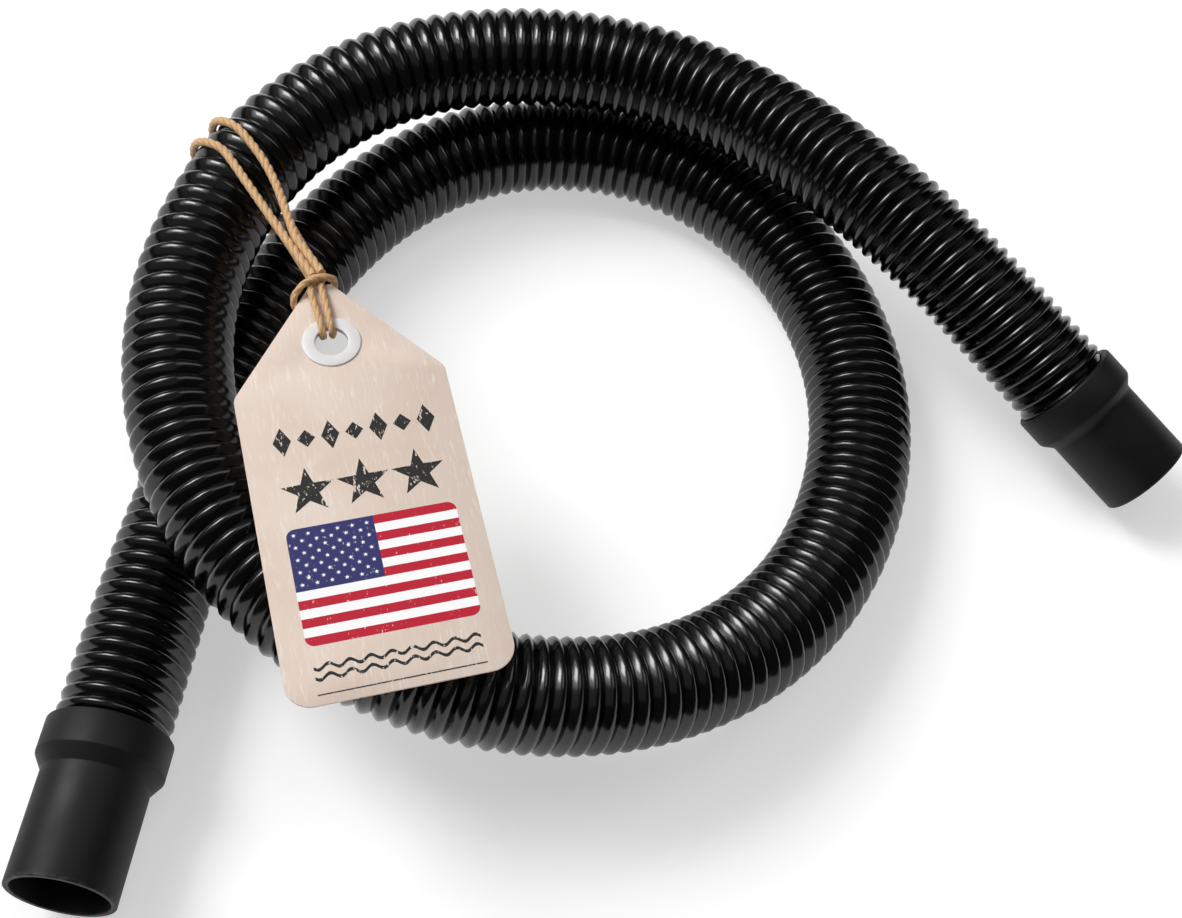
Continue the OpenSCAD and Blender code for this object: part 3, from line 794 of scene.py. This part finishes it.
def routeAt(u):
    # place and heading on the hose's route, counted in its steps
    p = [Vector(mm(*q)) for q in hoseSet["route"]]
    i, t = int(u), u - int(u)
    slope = [-(1 - t) ** 2, 3 * t ** 2 - 4 * t, -3 * t ** 2 + 2 * t + 1, t ** 2]
    near = p[i - 1:i + 3]
    return (sum((w * q for w, q in zip(splineWeights(t), near)), Vector()) / 6,
            sum((w * q for w, q in zip(slope, near)), Vector()).normalized())


def turnLine(o, slip, lean, side, bows):
    # out from the knot, round the hose and back to the knot
    knot = Vector(mm(*tagSet["knot"]))
    out = Vector(o["out"]).normalized()
    across = Vector((out.y, -out.x, 0))
    radius = mm(hoseSet["od"] / 2 + o["offHose"])
    over = []
    for k in range(o["overSteps"] + 1):
        w = k / o["overSteps"]
        a = math.radians(o["from"] + (o["to"] - o["from"]) * w)
        place, heading = routeAt(o["tieAt"] + slip + lean * w * w
                                 + o["bow"] * math.sin(math.pi * w))
        inward = heading.cross(Vector((0, 0, 1))).normalized()
        up = inward.cross(heading)
        over.append(place + radius * (math.cos(a) * up + math.sin(a) * inward))
    roots = [knot + mm(o["rootOut"]) * out + side * mm(o["gap"]) / 2 * across
             + Vector((0, 0, level * mm(o["gap"]) / 2)) for level in (1, -1)]
    meet = (knot + mm(o["meetAt"]) * out + side * mm(o["meetGap"]) / 2 * across
            - Vector((0, 0, mm(o["meetDrop"]))))
    steps = o["leadSteps"]
    lead = [roots[0].lerp(meet, k / steps) for k in range(steps)] + [meet]
    if bows:
        lead += [knot + mm(a) * out + mm(b) * across - Vector((0, 0, mm(c))) for a, b, c in bows]
    else:
        lead += [meet.lerp(over[0], k / steps) for k in range(1, steps)]
    back = [over[-1].lerp(roots[1], (k + 1) / o["backSteps"]) for k in range(o["backSteps"])]
    return lead + over + back


def makeTwine(name, points, radius, o, material, body, replaced):
    line = measured(bSpline(points, o["perSpan"]))
    full = line["s"][-1]
    outer = mm(radius)
    bm = bmesh.new()
    depth = bm.verts.layers.float.new("groove")
    ring = bmesh.ops.create_circle(bm, cap_ends=False, segments=o["around"],
                                   radius=outer)["verts"]
    middle, strand = o["strandOff"] * outer, o["strandRadius"] * outer
    for v in ring:
        off = math.radians((math.degrees(math.atan2(v.co.y, v.co.x)) + 60) % 120 - 60)
        r = (middle * math.cos(off)
             + math.sqrt(strand * strand - (middle * math.sin(off)) ** 2))
        # 0 on the crests, and 1 a fifth of the radius down between the strands
        v[depth] = (outer - r) / (0.2 * outer)
        v.co *= r / outer
    steps = max(8, int(full / mm(o["ring"])))
    bmesh.ops.spin(bm, geom=bm.verts[:] + bm.edges[:], cent=(0, 0, 0), axis=(0, 0, 1),
                   dvec=(0, 0, full / steps), angle=2 * math.pi * full / mm(o["lay"]),
                   steps=steps, use_merge=False)
    bmesh.ops.holes_fill(bm, edges=[e for e in bm.edges if e.is_boundary])
    bmesh.ops.recalc_face_normals(bm, faces=bm.faces)
    # UV in centimetres: round the twine and along it
    lay = bm.loops.layers.uv.new("lay")
    for face in bm.faces:
        centre = face.calc_center_median()
        base = math.atan2(centre.y, centre.x)
        for loop in face.loops:
            co = loop.vert.co
            turned = (math.atan2(co.y, co.x) - base + math.pi) % (2 * math.pi) - math.pi + base
            loop[lay].uv = (turned * outer * 100, co.z * 100)
    layAlong(bm, line)
    piece = finishMesh(bm, name, [material], body, sharp=80)
    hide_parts(*replaced)
    print(name, "length", round(full, 4))


# three-strand waxed cotton twine: tan crests, painted shade that darkens the grooves towards
# brown, fine fibres along its length
def twineFibre():
    material, tree, shader = newMaterial("waxedCottonTwine")
    uv = addNode(tree, "ShaderNodeUVMap", {"uv_map": "lay"}).outputs["UV"]
    along = addNode(tree, "ShaderNodeMapping", inputs={"Scale": (1, 0.16, 1)},
                    links={"Vector": uv}).outputs["Vector"]
    # fibres of about 0.2 x 1.1 mm, and paler and darker stretches of about 5 mm
    fibre = addNode(tree, "ShaderNodeTexNoise",
                    inputs={"Scale": 55, "Detail": 4, "Roughness": 0.65},
                    links={"Vector": along}).outputs["Fac"]
    patch = addNode(tree, "ShaderNodeTexNoise", inputs={"Scale": 2.2, "Detail": 2},
                    links={"Vector": uv}).outputs["Fac"]
    groove = addNode(tree, "ShaderNodeAttribute", {"attribute_name": "groove"}).outputs["Fac"]
    tans = addNode(tree, "ShaderNodeValToRGB", links={"Fac": fibre},
                   stops=[(0.33, "#b8844c"), (0.5, "#dcb07b"), (0.68, "#f4dab2")])
    stretches = addNode(tree, "ShaderNodeValToRGB", links={"Fac": patch},
                        stops=[(0.35, "#e8dccb"), (0.7, "#ffffff")])
    drift = addNode(tree, "ShaderNodeMix", {"data_type": "RGBA", "blend_type": "MULTIPLY"},
                    {"Factor": 0.6},
                    {"A": tans.outputs["Color"], "B": stretches.outputs["Color"]})
    # painted shade: the grooves between the strands are darkened towards brown, where shade falls
    paintedGrooveShade = addNode(tree, "ShaderNodeMapRange", inputs={
        "From Min": 0.45, "From Max": 1.0, "To Min": 0, "To Max": 0.6},
        links={"Value": groove}).outputs["Result"]
    tint = addNode(tree, "ShaderNodeMix", {"data_type": "RGBA"}, {"B": linear("#9a6c3c")},
                   {"Factor": paintedGrooveShade, "A": drift.outputs["Result"]})
    bump = addNode(tree, "ShaderNodeBump", inputs={"Strength": 0.6, "Distance": mm(0.15)},
                   links={"Height": fibre})
    plug(tree, shader, {"Roughness": 0.62, "IOR": 1.53, "Sheen Weight": 0.2},
         {"Base Color": tint.outputs["Result"], "Normal": bump.outputs["Normal"]})
    return material


twineMaterial = twineFibre()
for name, at, side, node in (("twineTurnLeft", 0, -1, "twine_turn_left"),
                             ("twineTurnRight", 1, 1, "twine_turn_right")):
    route = turnLine(twineSet, twineSet["slips"][at], twineSet["leans"][at], side,
                     twineSet["bows"][at])
    makeTwine(name, route, twineSet["turnRadius"], twineSet, twineMaterial, "hose_body", [node])
makeTwine("twineHitch", [tagPlace @ Vector(mm(*p)) for p in twineSet["hitch"]],
          twineSet["hitchRadius"], twineSet, twineMaterial, "tag",
          ["twine_knot", "twine_lead_left", "twine_lead_right"])


print("stage")
stageSet = {
    "world": 0.05,
    # one wide softbox from the upper left, brighter towards its middle, and a smaller one
    # over the right: place, size and power; all face the hose
    "lights": [("softboxCore", (-4.8, 1.6, 6.2), (2.8, 2.8), 350),
               ("softboxMiddle", (-4.9, 1.6, 6.3), (6.0, 6.0), 250),
               ("softboxRim", (-2.7, 0.8, 5.3), (14, 14), 130),
               ("softboxTop", (2.2, 0.9, 5.5), (2.8, 5.0), 62)],
    "floorSize": 100,         # metres, so that its edge isn't seen from low down
    "floorDrop": 0.5,         # millimetres under the hose
    "paper": "#fdfdfd",
    "glow": 1.2,              # strength of the paper's own light
    "glowShare": 0.42,        # how much of it takes the place of the paper
}
world = bpy.data.worlds.new("studio")
scene.world = world
world.use_nodes = True
plug(world.node_tree, world.node_tree.nodes["Background"],
     {"Color": (1, 1, 1, 1), "Strength": stageSet["world"]})

for name, place, size, power in stageSet["lights"]:
    data = bpy.data.lights.new(name, "AREA")
    data.shape = "RECTANGLE"
    data.size, data.size_y = size
    data.energy = power
    lamp = bpy.data.objects.new(name, data)
    lamp.location = place
    lamp.rotation_euler = (-Vector(place)).to_track_quat("-Z", "Y").to_euler()
    scene.collection.objects.link(lamp)


# matt white studio paper: it glows a little to the camera, in reflections and through glass,
# so that it stays white there and keeps its shadow
def studioPaper(o):
    material, tree, shader = newMaterial("studioPaper")
    plug(tree, shader, {"Base Color": linear(o["paper"]), "Roughness": 0.9,
                        "Specular IOR Level": 0.1})
    seen = addNode(tree, "ShaderNodeLightPath").outputs
    direct = addNode(tree, "ShaderNodeMath", {"operation": "ADD", "use_clamp": True},
                     links={0: seen["Is Camera Ray"], 1: seen["Is Glossy Ray"]})
    every = addNode(tree, "ShaderNodeMath", {"operation": "ADD", "use_clamp": True},
                    links={0: direct.outputs[0], 1: seen["Is Transmission Ray"]})
    share = addNode(tree, "ShaderNodeMath", {"operation": "MULTIPLY"}, {1: o["glowShare"]},
                    {0: every.outputs[0]})
    glow = addNode(tree, "ShaderNodeEmission",
                   inputs={"Color": (1, 1, 1, 1), "Strength": o["glow"]})
    mixed = addNode(tree, "ShaderNodeMixShader", links={
        0: share.outputs[0], 1: shader.outputs["BSDF"], 2: glow.outputs["Emission"]})
    plug(tree, tree.nodes["Material Output"], links={"Surface": mixed.outputs["Shader"]})
    return material


bm = bmesh.new()
bmesh.ops.create_grid(bm, x_segments=1, y_segments=1, size=stageSet["floorSize"])
floorMesh = bpy.data.meshes.new("studioFloor")
bm.to_mesh(floorMesh)
bm.free()
floorMesh.materials.append(studioPaper(stageSet))
studioFloor = bpy.data.objects.new("studioFloor", floorMesh)
studioFloor.location.z = -mm(stageSet["floorDrop"])
scene.collection.objects.link(studioFloor)
